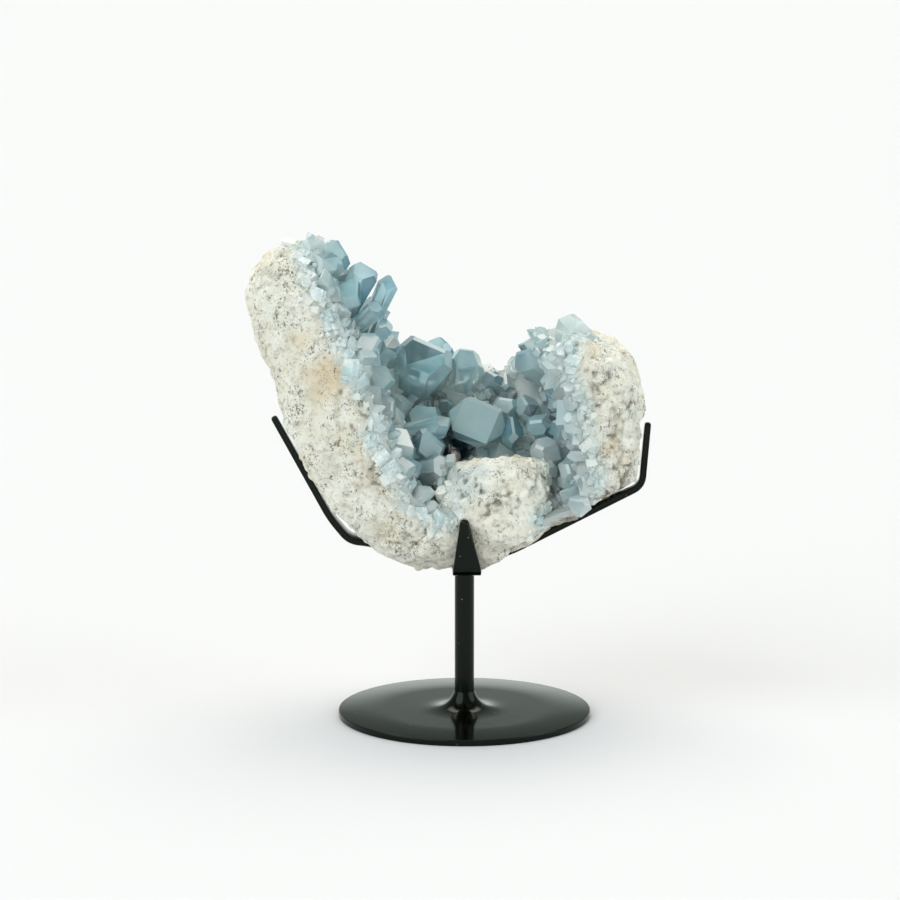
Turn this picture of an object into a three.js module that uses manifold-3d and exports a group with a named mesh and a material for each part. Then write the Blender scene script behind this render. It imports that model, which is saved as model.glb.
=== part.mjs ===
// A celestite geode held by a black painted steel stand.
// Millimetres, +Z up, the front towards -Y. The origin is the middle of the base plate's underside.

import * as THREE from "three";
import { ConvexGeometry } from "three/addons/geometries/ConvexGeometry.js";
import { ImprovedNoise } from "three/addons/math/ImprovedNoise.js";
import { mergeVertices } from "three/addons/utils/BufferGeometryUtils.js";
import Module from "manifold-3d";

const wasm = await Module();
wasm.setup();

// ---------------------------------------------------------------- driving dimensions

const GAP = 0.3; // air between pieces that touch

const BASE_DIAMETER = 127;
const STEEL_THICKNESS = 3.2; // plate and bars are cut from the same stock
const EDGE_BREAK = 0.5; // small bevel round the plate's rim
const BOSS_DIAMETER = 44; // where the boss starts to flare out of the plate
const BOSS_HEIGHT = 9;
const SOCKET_FLOOR = 1.2; // the post stops this far above the plate's top
const POST_DIAMETER = 9.8;
const POST_TOP = 78.1;

const BAR_WIDTH = 14;
const TIP_WIDTH = 3;
const TIP_ROUND = 1.4; // length over which a bar's tip is rounded off
const TIP_SHARE = 0.45; // of the width and the thickness, left at the end of the tip
const POINT_WIDTH = 0.2; // of a bar's inner end, where the four bars meet
const UNDER_BAR = 3; // no rock hangs lower than this below a bar's own place
const BEND_LENGTH = 5; // how far a bend reaches along the bar on each side of its corner
const HUB_HEIGHT = POST_TOP + GAP + STEEL_THICKNESS / 2;

const ROOT_DEPTH = 5; // how deep a crystal's foot stands behind the wall of the hollow
const CRUST_THICKNESS = 2.6; // of the grown layer between the crystals
const CRUST_SETBACK = 1; // of that layer's broken edge, behind the outside of the rock

// ---------------------------------------------------------------- small helpers

const vec = (x, y, z) => new THREE.Vector3(x, y, z);
const unit = (x, y, z) => vec(x, y, z).normalize();
const noise = new ImprovedNoise();
const { clamp, degToRad, lerp } = THREE.MathUtils;

// A repeatable stream of numbers from 0 to 1.
function makeRandom(seed) {
  let state = seed;
  return () => {
    state = (state * 1664525 + 1013904223) % 4294967296;
    return state / 4294967296;
  };
}

function toSolid(geometry) {
  const bare = new THREE.BufferGeometry();
  bare.setAttribute("position", geometry.getAttribute("position"));
  bare.setIndex(geometry.getIndex());
  const merged = mergeVertices(bare, 1e-4);
  return new wasm.Manifold(
    new wasm.Mesh({
      numProp: 3,
      vertProperties: new Float32Array(merged.getAttribute("position").array),
      triVerts: new Uint32Array(merged.getIndex().array),
    }),
  );
}

function toGeometry(solid) {
  const mesh = solid.getMesh();
  const geometry = new THREE.BufferGeometry();
  geometry.setAttribute("position", new THREE.BufferAttribute(mesh.vertProperties, 3));
  geometry.setIndex(new THREE.BufferAttribute(mesh.triVerts, 1));
  geometry.computeVertexNormals();
  return geometry;
}

const hullOf = (points) => toSolid(new ConvexGeometry(points));

function largestBody(solid) {
  const bodies = solid.decompose();
  return bodies.reduce((best, body) => (body.volume() > best.volume() ? body : best));
}

// ---------------------------------------------------------------- the stand

function basePlate() {
  const rim = BASE_DIAMETER / 2;
  const bore = POST_DIAMETER / 2 + GAP;
  const bossTop = STEEL_THICKNESS + BOSS_HEIGHT;
  const flareReach = BOSS_DIAMETER / 2 - bore - EDGE_BREAK;
  const profile = [
    [0, 0],
    [rim, 0],
    [rim, STEEL_THICKNESS - EDGE_BREAK],
    [rim - EDGE_BREAK, STEEL_THICKNESS],
  ];
  const flareSteps = 4;
  for (let i = 0; i <= flareSteps; i++) {
    const turn = (i / flareSteps) * (Math.PI / 2);
    profile.push([
      bore + EDGE_BREAK + flareReach * (1 - Math.sin(turn)),
      STEEL_THICKNESS + BOSS_HEIGHT * (1 - Math.cos(turn)),
    ]);
  }
  profile.push([bore, bossTop]);
  profile.push([bore, STEEL_THICKNESS + SOCKET_FLOOR - GAP]);
  profile.push([0, STEEL_THICKNESS + SOCKET_FLOOR - GAP]);
  return latheUpright(profile, 40);
}

function post() {
  const foot = STEEL_THICKNESS + SOCKET_FLOOR;
  const profile = [
    [0, foot],
    [POST_DIAMETER / 2, foot],
    [POST_DIAMETER / 2, POST_TOP],
    [0, POST_TOP],
  ];
  return latheUpright(profile, 20);
}

function latheUpright(profile, segments) {
  const points = profile.map(([radius, height]) => new THREE.Vector2(radius, height));
  return new THREE.LatheGeometry(points, segments).rotateX(Math.PI / 2);
}

// Each arm is one flat bar, bent by hand in an upright plane. Its corners are [distance from the post's
// axis, height] of the middle of the bar's thickness. It keeps its full width up to corner taperFrom. Beyond
// that corner it may be twisted about its own length, in degrees, and lean sideways, in mm at its tip.
const ARMS = {
  arm_left: {
    heading: 180,
    corners: [[0, HUB_HEIGHT], [13, HUB_HEIGHT], [47, 88.9], [57.5, 90], [67, 101.5], [95, 152]],
    taperFrom: 3,
  },
  arm_right: {
    heading: 0,
    corners: [[0, HUB_HEIGHT], [12.5, 81.3], [24, 85.2], [88.4, 117.3], [91.1, 149]],
    taperFrom: 2,
  },
  arm_front: {
    heading: -88.3,
    corners: [[0, HUB_HEIGHT], [36.6, 79.6], [37.7, 106.9]],
    taperFrom: 1,
    twist: -25,
    lean: -1.4,
  },
  arm_back: {
    heading: 90,
    corners: [[0, HUB_HEIGHT], [14, HUB_HEIGHT], [40, 90], [55, 108], [58, 140]],
    taperFrom: 2,
  },
};

// The middle line of a bar: straight between the corners, with a curve in place of each corner.
function barLine(corners) {
  const points = corners.map(([out, up]) => new THREE.Vector2(out, up));
  const line = new THREE.Path();
  line.moveTo(points[0].x, points[0].y);
  for (let i = 1; i < points.length - 1; i++) {
    const before = points[i].clone().sub(points[i - 1]).setLength(-BEND_LENGTH).add(points[i]);
    const after = points[i + 1].clone().sub(points[i]).setLength(BEND_LENGTH).add(points[i]);
    line.lineTo(before.x, before.y);
    line.quadraticCurveTo(points[i].x, points[i].y, after.x, after.y);
  }
  const last = points[points.length - 1];
  line.lineTo(last.x, last.y);
  return line.getPoints(3);
}

// The four corners of the bar's cross-section at one point of its middle line.
function barSection(point, along, width, thickness, twist = 0, sideways = 0) {
  const normal = new THREE.Vector2(-along.y, along.x);
  const corners = [];
  for (const [side, face] of [[-1, -1], [1, -1], [1, 1], [-1, 1]]) {
    const corner = new THREE.Vector2((side * width) / 2, (face * thickness) / 2);
    corner.rotateAround(new THREE.Vector2(), twist);
    corners.push(
      vec(point.x + normal.x * corner.y, corner.x + sideways, point.y + normal.y * corner.y),
    );
  }
  return corners;
}

// grow makes the bar larger all round, for the clearance that is cut out of its neighbours.
function armSolid({ heading, corners, taperFrom, twist = 0, lean = 0 }, grow = 0) {
  const line = barLine(corners);
  const reached = [0];
  for (let i = 1; i < line.length; i++) reached.push(reached[i - 1] + line[i].distanceTo(line[i - 1]));
  const total = reached[reached.length - 1];
  let taperStart = 0;
  for (let i = 1; i <= taperFrom; i++) {
    taperStart += Math.hypot(corners[i][0] - corners[i - 1][0], corners[i][1] - corners[i - 1][1]);
  }
  const shareAt = (distance) => clamp((distance - taperStart) / (total - taperStart), 0, 1);
  const widthAt = (distance) => lerp(BAR_WIDTH, TIP_WIDTH, shareAt(distance)) + 2 * grow;
  const turnAt = (distance) => (distance > taperStart + BEND_LENGTH ? degToRad(twist) : 0);

  // The four bars meet over the post, each cut to a point there so that it fits between its neighbours.
  const mitre = GAP / Math.SQRT2;
  const stations = [
    [mitre + POINT_WIDTH / 2, POINT_WIDTH],
    [mitre + BAR_WIDTH / 2, BAR_WIDTH + 2 * grow],
  ];
  const thickness = STEEL_THICKNESS + 2 * grow;
  const sections = stations.map(([out, width]) => {
    const height = lerp(corners[0][1], corners[1][1], out / corners[1][0]);
    return barSection(new THREE.Vector2(out, height), new THREE.Vector2(1, 0), width, thickness);
  });
  line.forEach((point, i) => {
    if (i === 0 || i === line.length - 1) return;
    const along = line[i + 1].clone().sub(line[i - 1]).normalize();
    const distance = reached[i];
    const [turn, sideways] = [turnAt(distance), lean * shareAt(distance)];
    sections.push(barSection(point, along, widthAt(distance), thickness, turn, sideways));
  });
  const along = line[line.length - 1].clone().sub(line[line.length - 2]).normalize();
  for (const [back, share] of [[TIP_ROUND, 1], [0, TIP_SHARE]]) {
    const point = line[line.length - 1].clone().addScaledVector(along, grow - back);
    const width = widthAt(total - back) * share;
    sections.push(barSection(point, along, width, thickness * share, turnAt(total), lean));
  }

  let bar = null;
  for (let i = 1; i < sections.length; i++) {
    const stretch = hullOf([...sections[i - 1], ...sections[i]]);
    bar = bar ? bar.add(stretch) : stretch;
  }
  return bar.rotate([0, 0, heading]);
}

// ---------------------------------------------------------------- rock

// A rounded lump bounded by flat faces, each given by a place on it and the way it faces. Seen from the
// lump's middle, the surface lies where the faces stand in the way; a larger sharpness makes crisper edges
// between them. Bumps are [height, length] pairs of noise laid on top.
class Lump {
  constructor({ middle, faces, sharpness, bumps, detail }) {
    this.middle = vec(...middle);
    this.sharpness = sharpness;
    this.bumps = bumps;
    this.detail = detail;
    this.faces = faces.map(([place, facing]) => {
      const normal = unit(...facing);
      return { normal, distance: vec(...place).sub(this.middle).dot(normal) };
    });
  }

  radius(direction, grow = 0) {
    let sum = 0;
    for (const { normal, distance } of this.faces) {
      const nearness = direction.dot(normal) / (distance + grow);
      if (nearness > 0) sum += nearness ** this.sharpness;
    }
    const smooth = sum ** (-1 / this.sharpness);
    const place = direction.clone().multiplyScalar(smooth).add(this.middle);
    return this.bumps.reduce(
      (radius, [height, length]) =>
        radius + height * noise.noise(place.x / length + 7.3, place.y / length + 3.1, place.z / length),
      smooth,
    );
  }

  surfacePoint(direction, grow = 0) {
    return direction.clone().multiplyScalar(this.radius(direction, grow)).add(this.middle);
  }

  // How far a point lies outside the lump, along the line from the lump's middle. Negative inside.
  outside(point) {
    const arm = point.clone().sub(this.middle);
    return arm.length() - this.radius(arm.clone().normalize());
  }

  solid(grow = 0, detail = this.detail) {
    const ball = new THREE.IcosahedronGeometry(1, detail);
    const position = ball.getAttribute("position");
    for (let i = 0; i < position.count; i++) {
      const direction = unit(position.getX(i), position.getY(i), position.getZ(i));
      position.setXYZ(i, ...this.surfacePoint(direction, grow).toArray());
    }
    return toSolid(ball);
  }
}

const ROCK_BUMPS = [[5, 34], [3.6, 15], [2.4, 7.5]];

// The whole lump of rock before the hollow is taken out of it.
const boulder = new Lump({
  middle: [-10, 2, 155],
  sharpness: 26,
  detail: 8,
  bumps: ROCK_BUMPS,
  faces: [
    [[-70, -40, 185], [-0.22, -1, 0.06]], // broken face of the left lobe
    [[-45, -40, 118], [-0.2, -1, -0.3]], // its lower part, turned down
    [[-94, 0, 170], [-0.947, 0.05, -0.32]], // rind at the far left
    [[-66.3, 0, 116], [-0.87, 0.05, -0.49]],
    [[-107, 0, 212], [-1, 0.02, -0.05]],
    [[-93, -5, 238], [-0.56, -0.05, 0.8]], // shoulder of the left lobe
    [[-70, 0, 243], [0.1, 0.05, 1]], // top of the left lobe
    [[80, 0, 186.5], [0.33, 0.03, 0.944]], // from there down to the right lobe
    [[-54, -5, 93], [-0.66, -0.08, -0.75]], // underside, left
    [[-40, -5, 84], [-0.31, -0.1, -0.95]],
    [[-10, -5, 80], [0, 0, -1]], // underside, middle
    [[52, 0, 100.3], [0.47, -0.08, -0.88]], // underside, right, along the arm
    [[2, -35, 98], [0, -1, -0.3]], // front foot, behind the front arm
    [[86, 0, 140], [1, 0, 0.02]], // rind at the far right
    [[86, -2, 183], [0.8, 0, 0.6]], // shoulder of the right lobe
    [[68, -38, 155], [0.22, -1, 0.02]], // broken face of the right lobe
    [[62, -36, 112], [0.35, -1, -0.55]], // its lower part
    [[0, 50, 150], [0.05, 1, 0.1]], // back of the rind
    [[-62, 40, 170], [-0.6, 0.85, -0.1]],
    [[60, 38, 150], [0.6, 0.85, 0.05]],
    [[-5, 34, 100], [0, 0.75, -0.65]],
    [[-80, 28, 222], [-0.2, 0.8, 0.5]],
  ],
});

// The air inside the fragment: the hollow that the crystals grew in, open to the front and the top.
const hollow = new Lump({
  middle: [2, -55, 190],
  sharpness: 20,
  detail: 5,
  bumps: [[8, 26]],
  faces: [
    [[-51, -38, 172], [-0.92, 0.1, -0.37]], // wall of the left lobe
    [[5, 8, 131], [-0.09, 0.7, -0.71]], // back wall
    [[0, -15, 108], [-0.1, 0.1, -1]], // floor
    [[50, -38, 104], [0.42, -0.25, -0.88]], // floor at the right, down to the broken edge
    [[55, -35, 163], [0.93, 0.15, 0.25]], // wall of the right lobe
    [[66, -36, 128], [0.9, 0.2, -0.35]], // its lower part
    [[0, -120, 180], [0, -1, 0]],
    [[0, 0, 290], [0, 0, 1]],
    [[20, 75, 230], [0, 1, 0.2]],
  ],
});

// The air where the rim of the right lobe is broken away.
const rimNotch = new Lump({
  middle: [10, 5, 232],
  sharpness: 12,
  detail: 3,
  bumps: [[5, 17]],
  faces: [
    [[50, 0, 189], [0.7, 0, -0.7]],
    [[30, 0, 176], [0.35, 0, -1]],
    [[-30, 0, 232], [-1, 0, 0]],
    [[70, 0, 232], [1, 0, 0.3]],
    [[0, -80, 232], [0, -1, 0]],
    [[0, 80, 232], [0, 1, 0]],
    [[0, 0, 270], [0, 0, 1]],
  ],
});

// The knob of rock that is left of the front wall.
const knob = new Lump({
  middle: [13, -22, 110],
  sharpness: 8,
  detail: 4,
  bumps: [[5, 14], [2.5, 8]],
  faces: [
    [[14, -42, 112], [0.1, -1, 0.1]],
    [[14, -22, 134], [0.05, -0.1, 1]],
    [[-14, -22, 112], [-1, -0.15, 0.35]],
    [[40, -22, 116], [1, -0.1, 0.1]],
    [[14, -4, 116], [0, 1, 0.4]],
    [[14, -22, 87.5], [0.42, 0.05, -1]],
    [[2, -36, 98], [-0.3, -1, -0.5]],
  ],
});

const cavity = (grow) => hollow.solid(grow).add(rimNotch.solid(grow));
const rockWith = (grow) => boulder.solid(grow).subtract(cavity(-grow)).add(knob.solid(grow));

const inAir = (point) =>
  (hollow.outside(point) < 0 || rimNotch.outside(point) < 0 || boulder.outside(point) > 0) &&
  knob.outside(point) > 0;

// ---------------------------------------------------------------- crystals

// The faces of a celestite crystal: a prism closed by a gable of two sloping faces. Turns are degrees about
// the crystal's length and tilts are degrees from it. Large crystals are six-sided, with a sloping face on
// each end of the gable and a small flat top. Small ones are skewed blocks.
const PRISM_TURNS = [0, 52, 128, 180, 232, 308];
const BLOCK_TURNS = [0, 78, 180, 258];
const GABLE_TURNS = [0, 180];
const END_TURNS = [90, 270];
const GABLE_TILT = 42;
const END_TILT = 55;
const FOOT_SHARE = 0.72; // of the width, left at the crystal's foot
const WIDTH_VARIATION = 0.16; // no two faces of a crystal grew at the same rate
const TILT_VARIATION = 0.14;
const RIDGE_LENGTH = 0.45; // of the width
const RIDGE_VARIATION = 0.7;
const RIDGE_FLAT = 0.06; // how far the flat top lies below the ridge, of the width

// Every corner where three of the faces meet and no other face cuts it off.
function cornersOf(faces) {
  const corners = [];
  for (let i = 0; i < faces.length; i++) {
    for (let j = i + 1; j < faces.length; j++) {
      for (let k = j + 1; k < faces.length; k++) {
        const [a, b, c] = [faces[i], faces[j], faces[k]];
        const bc = b.normal.clone().cross(c.normal);
        const size = a.normal.dot(bc);
        if (Math.abs(size) < 1e-6) continue;
        const corner = bc
          .multiplyScalar(a.distance)
          .addScaledVector(c.normal.clone().cross(a.normal), b.distance)
          .addScaledVector(a.normal.clone().cross(b.normal), c.distance)
          .divideScalar(size);
        if (faces.every(({ normal, distance }) => corner.dot(normal) < distance + 1e-6)) corners.push(corner);
      }
    }
  }
  return corners;
}

// A crystal along +Z from the origin, width across the flats and height to its tip.
function crystalFaces({ width, height, large, blunt = RIDGE_FLAT }, random) {
  const vary = (amount) => 1 + amount * (2 * random() - 1);
  const half = width / 2;
  const flare = (half * (1 - FOOT_SHARE)) / height;
  const faces = [{ normal: vec(0, 0, -1), distance: 0 }];
  for (const turn of large ? PRISM_TURNS : BLOCK_TURNS) {
    const side = vec(Math.cos(degToRad(turn)), Math.sin(degToRad(turn)), -flare);
    const reach = half * FOOT_SHARE * vary(WIDTH_VARIATION);
    faces.push({ normal: side.clone().normalize(), distance: reach / side.length() });
  }
  // A face that slopes down from the ridge, which it meets at its own reach from the crystal's length.
  const addSlope = (turn, tilt, reach) => {
    const [around, lean] = [turn, tilt].map(degToRad);
    const normal = vec(Math.sin(lean) * Math.cos(around), Math.sin(lean) * Math.sin(around), Math.cos(lean));
    faces.push({ normal, distance: height * Math.cos(lean) + reach * Math.sin(lean) });
  };
  for (const turn of GABLE_TURNS) addSlope(turn, GABLE_TILT * vary(TILT_VARIATION), 0);
  if (large) {
    for (const turn of END_TURNS) addSlope(turn, END_TILT, half * RIDGE_LENGTH * vary(RIDGE_VARIATION));
    faces.push({ normal: vec(0, 0, 1), distance: height - width * blunt });
  }
  return faces;
}

function crystalSolid(crystal, random) {
  const upright = new THREE.Quaternion().setFromUnitVectors(vec(0, 0, 1), crystal.up);
  const turn = degToRad(crystal.turn);
  const turned = new THREE.Quaternion().setFromAxisAngle(crystal.up, turn).multiply(upright);
  const corners = cornersOf(crystalFaces(crystal, random));
  return hullOf(corners.map((corner) => corner.applyQuaternion(turned).add(crystal.foot)));
}

// A large crystal stands on the first rock that lies straight below its tip.
function rooted({ tip, points, width, turn, blunt }) {
  const up = unit(...points);
  const top = vec(...tip);
  const foot = top.clone();
  while (inAir(foot)) foot.addScaledVector(up, -1);
  foot.addScaledVector(up, -ROOT_DEPTH);
  return { foot, up, height: foot.distanceTo(top), width, turn, blunt, large: true };
}

// The large crystals, each given by its tip, the way it points, its width and its turn about its length.
const LARGE_CRYSTALS = [
  // knob of crystals on top of the left lobe
  { tip: [-70, -18, 243], points: [0.25, -0.3, 0.9], width: 17, turn: 20 },
  { tip: [-59, -20, 238], points: [0.6, -0.4, 0.65], width: 15, turn: 50 },
  { tip: [-77, -26, 240], points: [-0.1, -0.4, 0.9], width: 12, turn: 80 },
  // tall prisms below it
  { tip: [-47, -16, 229], points: [0.45, -0.1, 0.88], width: 13, turn: 70 },
  { tip: [-36, -12, 223], points: [0.42, -0.12, 0.9], width: 10, turn: 10 },
  { tip: [-41, -22, 211], points: [0.65, -0.4, 0.65], width: 10, turn: 40 },
  { tip: [-52, -30, 219], points: [0.6, -0.6, 0.5], width: 13, turn: 15 },
  { tip: [-43, -30, 190], points: [0.8, -0.55, 0.25], width: 17, turn: 0 },
  { tip: [-33, -2, 191], points: [0.6, -0.3, 0.7], width: 11, turn: 30 },
  // the large faceted crystals in the middle of the back wall
  { tip: [-17, 14, 187], points: [0.25, -0.5, 0.8], width: 24, turn: 75 },
  { tip: [-11, 26, 188], points: [0.25, -0.2, 0.93], width: 14, turn: 30 },
  { tip: [2, 30, 182], points: [0.1, -0.3, 0.93], width: 15, turn: 85 },
  { tip: [13, 33, 170], points: [-0.1, -0.5, 0.85], width: 13, turn: 40 },
  { tip: [21, 34, 167], points: [0.1, -0.5, 0.85], width: 12, turn: 5 },
  { tip: [28, 12, 183], points: [-0.65, -0.45, 0.6], width: 17, turn: 55 },
  { tip: [34, 10, 187], points: [-0.6, -0.2, 0.75], width: 6, turn: 15 },
  { tip: [55, -9, 203.5], points: [0.2, -0.3, 0.93], width: 20, turn: 35 },
  { tip: [64, -14, 195], points: [0.45, -0.3, 0.8], width: 13, turn: 80 },
  { tip: [41, 4, 184], points: [-0.35, -0.3, 0.9], width: 12, turn: 60 },
  { tip: [49, -6, 190], points: [0.1, -0.4, 0.9], width: 10, turn: 20 },
  // crystals that point out of the floor and the walls to the front
  { tip: [5, -14, 152], points: [-0.05, -0.93, 0.25], width: 27, turn: 65, blunt: 0.3 },
  { tip: [-14, -4, 153], points: [0.45, -0.65, 0.6], width: 22, turn: 25 },
  { tip: [-7, -14, 150], points: [0.93, -0.3, 0.2], width: 11, turn: 5 },
  { tip: [-14, -20, 144], points: [0.5, -0.75, 0.4], width: 15, turn: 75 },
  { tip: [-8, -24, 131], points: [0.85, -0.45, 0.2], width: 14, turn: 45 },
  { tip: [-35, -26, 161], points: [0.6, -0.75, 0.3], width: 12, turn: 20 },
  { tip: [-36, -28, 177], points: [0.75, -0.55, 0.35], width: 14, turn: 60 },
  { tip: [24, -4, 148], points: [0.1, -0.8, 0.6], width: 12, turn: 10 },
  { tip: [37, -16, 139], points: [-0.3, -0.85, 0.4], width: 14, turn: 50 },
  { tip: [43, -10, 163], points: [-0.65, -0.7, 0.3], width: 11, turn: 35 },
  { tip: [19, 16, 159], points: [-0.1, -0.6, 0.75], width: 13, turn: 70 },
  { tip: [30, 12, 158], points: [-0.3, -0.6, 0.7], width: 12, turn: 15 },
  { tip: [36, -2, 150], points: [-0.3, -0.8, 0.5], width: 12, turn: 80 },
  { tip: [48, -18, 148], points: [-0.6, -0.7, 0.4], width: 11, turn: 45 },
  { tip: [50, -26, 131], points: [-0.4, -0.85, 0.35], width: 13, turn: 0 },
  { tip: [43, -14, 121], points: [-0.2, -0.8, 0.55], width: 14, turn: 25 },
  { tip: [-26, -36, 119], points: [0.4, -0.85, 0.3], width: 10, turn: 55 },
  { tip: [-24, -38, 109], points: [0.25, -0.6, 0.75], width: 9, turn: 15 },
  { tip: [54, -38, 117], points: [-0.3, -0.7, 0.6], width: 11, turn: 65 },
  { tip: [44, -34, 106], points: [0.1, -0.5, 0.85], width: 10, turn: 30 },
  { tip: [57, -36, 127], points: [-0.5, -0.7, 0.5], width: 10, turn: 5 },
];

// The smaller crystals stand on the wall wherever there is room between the large ones.
const SMALL_CRYSTALS = 34;
const SMALL_WIDTHS = [9, 16];
const SMALL_HEIGHTS = [7, 15];
const SPACING = 0.4; // of the two widths together
const RIM_CLEARANCE = 0.95; // of the width, from a small crystal's foot to the outside of the rock
const LEAN_TO_FRONT = vec(0, -0.35, 0.25);
const LEAN_SPREAD = 0.55;

// The way out of the wall at a point on it, from how quickly the distance to the wall changes there.
function wayOut(point) {
  const change = (x, y, z) =>
    hollow.outside(point.clone().add(vec(x, y, z))) - hollow.outside(point.clone().sub(vec(x, y, z)));
  return unit(-change(1, 0, 0), -change(0, 1, 0), -change(0, 0, 1));
}

function smallCrystals(large, random) {
  const between = ([low, high]) => lerp(low, high, random());
  const spread = () => vec(2 * random() - 1, 2 * random() - 1, 2 * random() - 1);
  const crystals = [];
  while (crystals.length < SMALL_CRYSTALS) {
    const wall = hollow.surfacePoint(spread().normalize());
    const up = wayOut(wall).add(LEAN_TO_FRONT).addScaledVector(spread(), LEAN_SPREAD).normalize();
    const foot = wall.clone().addScaledVector(up, -ROOT_DEPTH);
    const width = between(SMALL_WIDTHS);
    const crowded = (other) => other.foot.distanceTo(foot) < SPACING * (other.width + width);
    const clearance = RIM_CLEARANCE * width;
    if (Math.max(boulder.outside(foot), boulder.outside(wall)) > -clearance) continue;
    if (knob.outside(wall) < 0 || rimNotch.outside(wall) < clearance) continue;
    if ([...large, ...crystals].some(crowded)) continue;
    crystals.push({ foot, up, width, height: ROOT_DEPTH + between(SMALL_HEIGHTS), turn: 180 * random() });
  }
  return crystals;
}

function crystalCrust() {
  const random = makeRandom(19);
  const large = LARGE_CRYSTALS.map(rooted);
  const all = [...large, ...smallCrystals(large, random)];
  const crystals = all.map((crystal) => crystalSolid(crystal, random));
  const lining = cavity(CRUST_SETBACK)
    .subtract(cavity(-GAP - CRUST_THICKNESS))
    .intersect(boulder.solid(-CRUST_SETBACK));
  const grown = wasm.Manifold.union([lining, ...crystals]).subtract(rockWith(GAP));
  return largestBody(grown);
}

// ---------------------------------------------------------------- assembly

const paintedSteel = new THREE.MeshStandardMaterial({ color: 0x0c0d0c, roughness: 0.22, metalness: 0 });
const celestite = new THREE.MeshStandardMaterial({ color: 0x9dbcc6, roughness: 0.12, metalness: 0 });
const chalkyRock = new THREE.MeshStandardMaterial({ color: 0xe4e1d8, roughness: 0.95, metalness: 0 });

function named(name, geometry, material) {
  const mesh = new THREE.Mesh(geometry, material.clone());
  mesh.name = name;
  return mesh;
}

const arms = Object.entries(ARMS);
let matrix = rockWith(0);
for (const [, arm] of arms) {
  const bar = armSolid(arm, GAP);
  matrix = matrix.subtract(bar).subtract(bar.translate([0, 0, -UNDER_BAR]));
}
matrix = largestBody(matrix);

const stand = new THREE.Group();
stand.add(named("base_plate", basePlate(), paintedSteel));
stand.add(named("post", post(), paintedSteel));
for (const [name, arm] of arms) stand.add(named(name, toGeometry(armSolid(arm)), paintedSteel));

const geode = new THREE.Group();
geode.add(named("crystal_crust", toGeometry(crystalCrust()), celestite));
geode.add(named("geode_matrix", toGeometry(matrix), chalkyRock));

const object = new THREE.Group();
object.add(stand, geode);

export default object;
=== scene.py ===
# %% [markdown]
# # A celestite geode on a painted steel stand
# A geode is a hollow in chalky rock that crystals grew into. This one is a broken piece of the hollow's
# wall: white rock on the outside, pale blue celestite inside, held by four bent steel bars on a post.
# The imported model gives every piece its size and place. This file gives each piece its surface.

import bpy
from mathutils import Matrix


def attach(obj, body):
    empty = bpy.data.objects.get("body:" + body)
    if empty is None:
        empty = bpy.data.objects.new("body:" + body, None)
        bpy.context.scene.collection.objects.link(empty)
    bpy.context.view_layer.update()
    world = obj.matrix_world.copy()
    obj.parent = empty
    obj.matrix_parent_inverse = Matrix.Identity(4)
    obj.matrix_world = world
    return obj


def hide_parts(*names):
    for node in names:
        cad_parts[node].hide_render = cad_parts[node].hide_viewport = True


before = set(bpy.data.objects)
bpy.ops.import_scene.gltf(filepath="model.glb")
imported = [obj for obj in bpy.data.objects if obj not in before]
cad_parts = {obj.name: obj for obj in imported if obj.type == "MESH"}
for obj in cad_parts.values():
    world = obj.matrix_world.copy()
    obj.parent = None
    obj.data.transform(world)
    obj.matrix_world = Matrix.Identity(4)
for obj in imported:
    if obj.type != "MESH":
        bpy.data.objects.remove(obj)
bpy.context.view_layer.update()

# %% [markdown]
# ## Small tools
# Everything below is worked out in millimetres, as the maker measures it, and turned to metres when it
# goes into a mesh. Colours are written as the sRGB hex values of a colour chart and turned to the linear
# light that the renderer counts in.

# %% Colours and nodes
import itertools
import math

import bmesh
import bpy
import numpy as np

MM = 0.001


def linear(code):
    """sRGB hex to linear RGBA: a value up to 0.04045 is divided by 12.92, any other is
    ((value + 0.055) / 1.055) ^ 2.4."""
    value = np.array([int(code[i:i + 2], 16) for i in (1, 3, 5)]) / 255
    return (*np.where(value <= 0.04045, value / 12.92, ((value + 0.055) / 1.055) ** 2.4).tolist(), 1.0)


def add_node(tree, kind, sockets={}, **settings):
    """Adds one node: settings are its own choices. A socket given an output is linked to it, any other is
    set."""
    node = tree.nodes.new(kind)
    for name, setting in settings.items():
        setattr(node, name, setting)
    for socket, given in sockets.items():
        if isinstance(given, bpy.types.NodeSocket):
            tree.links.new(given, node.inputs[socket])
        else:
            node.inputs[socket].default_value = given
    return node


def new_material(name):
    """An empty material and its node tree, ready for a shader."""
    material = bpy.data.materials.new(name)
    material.use_nodes = True
    material.node_tree.nodes.clear()
    return material, material.node_tree


# %% A mesh from arrays
def new_mesh(name, points, faces, smooth_below=None):
    """Points in mm and faces as rows of point numbers. Edges flatter than smooth_below degrees are shaded
    smooth."""
    mesh = bpy.data.meshes.new(name)
    mesh.from_pydata((np.asarray(points) * MM).tolist(), [], [list(face) for face in faces])
    mesh.update()
    if smooth_below:
        mesh.polygons.foreach_set("use_smooth", np.ones(len(mesh.polygons), bool))
        mesh.set_sharp_from_angle(angle=math.radians(smooth_below))
    return mesh


def add_piece(mesh, material, slot, *nodes):
    """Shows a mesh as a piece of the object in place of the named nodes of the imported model."""
    piece = bpy.data.objects.new(mesh.name, mesh)
    bpy.context.scene.collection.objects.link(piece)
    mesh.materials.clear()
    mesh.materials.append(material)
    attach(piece, "root")
    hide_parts(*nodes)
    mesh.calc_loop_triangles()
    print(f"{mesh.name}: {len(mesh.vertices)} points, {len(mesh.loop_triangles)} triangles")
    return piece


# %% [markdown]
# ## Camera and light
# The object stands on a wide pale floor. The light comes from the whole sky: a dome that is bright low
# down, like a lit backdrop, grey further up, and bright again overhead, with two soft boxes at the front.
# The glossy paint and the crystals show that contrast. The dome is endlessly far away, so the floor is lit
# evenly.

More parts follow.
